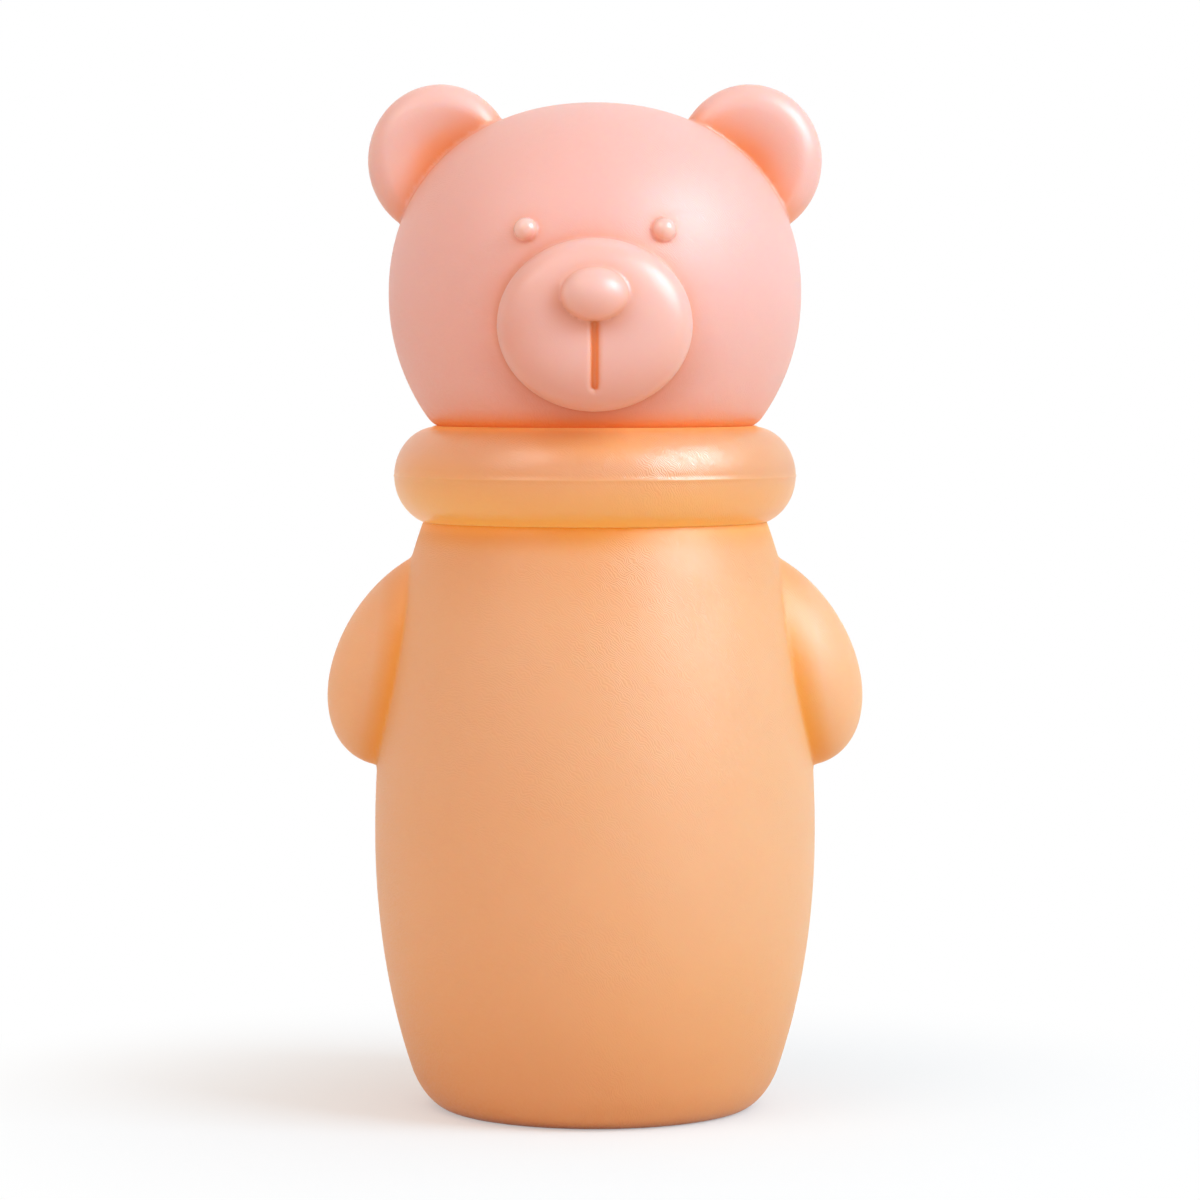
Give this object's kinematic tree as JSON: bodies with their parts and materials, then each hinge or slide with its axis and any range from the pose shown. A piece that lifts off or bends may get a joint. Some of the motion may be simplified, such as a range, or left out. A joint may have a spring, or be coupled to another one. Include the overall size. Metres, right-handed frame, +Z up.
{
  "type": "squeeze feeding bottle",
  "caption": "Soft squeeze bottle shaped like a bear, with moulded arms; the head is a push-on cover over a feeding spoon, held by a screw collar.",
  "frame": {"origin": "centre of the flat foot that the bottle stands on", "axes": "+Z up along the bottle, -Y towards the front where the face looks, +X to the right in the picture"},
  "size_m": [0.0748, 0.0686, 0.1434],
  "materials": {
    "orange_silicone": "matt, slightly leathery silicone",
    "amber_silicone": "smooth translucent silicone",
    "pink_silicone": "matt silicone, smoother on the ears and the face",
    "clear_silicone": "smooth clear silicone",
    "frosted_plastic": "frosted polypropylene",
    "hard_orange_plastic": "moulded polypropylene"
  },
  "bodies": {
    "bottle": {"squeeze_bottle": "orange_silicone", "neck_liner": "frosted_plastic"},
    "seal": {"neck_seal": "clear_silicone"},
    "nozzle": {"nozzle_base": "frosted_plastic", "flow_valve": "clear_silicone", "valve_retainer": "frosted_plastic"},
    "collar": {"collar_ring": "hard_orange_plastic", "collar_sleeve": "amber_silicone"},
    "spoon": {"soft_spoon": "pink_silicone"},
    "cover": {"head_cover": "pink_silicone"}
  },
  "joints": [
    {"name": "seal_lift", "type": "slide", "parent": "bottle", "child": "seal", "axis": [0, 0, 1], "range_m": [0, 0.04]},
    {"name": "thread_rise", "type": "slide", "parent": "seal", "child": "nozzle", "axis": [0, 0, 1], "range_m": [0, 0.005]},
    {"name": "collar_turn", "type": "hinge", "parent": "nozzle", "child": "collar", "pos_m": [0, 0, 0.0889], "axis": [0, 0, 1], "range_deg": [0, 450]},
    {"name": "spoon_pull", "type": "slide", "parent": "collar", "child": "spoon", "axis": [0, 0, 1], "range_m": [0, 0.025]},
    {"name": "cover_lift", "type": "slide", "parent": "spoon", "child": "cover", "axis": [0, 0, 1], "range_m": [0, 0.06]}
  ],
  "couplings": [
    {"joint": "thread_rise", "follows": "collar_turn", "m_per_rad": 0.000636}
  ]
}
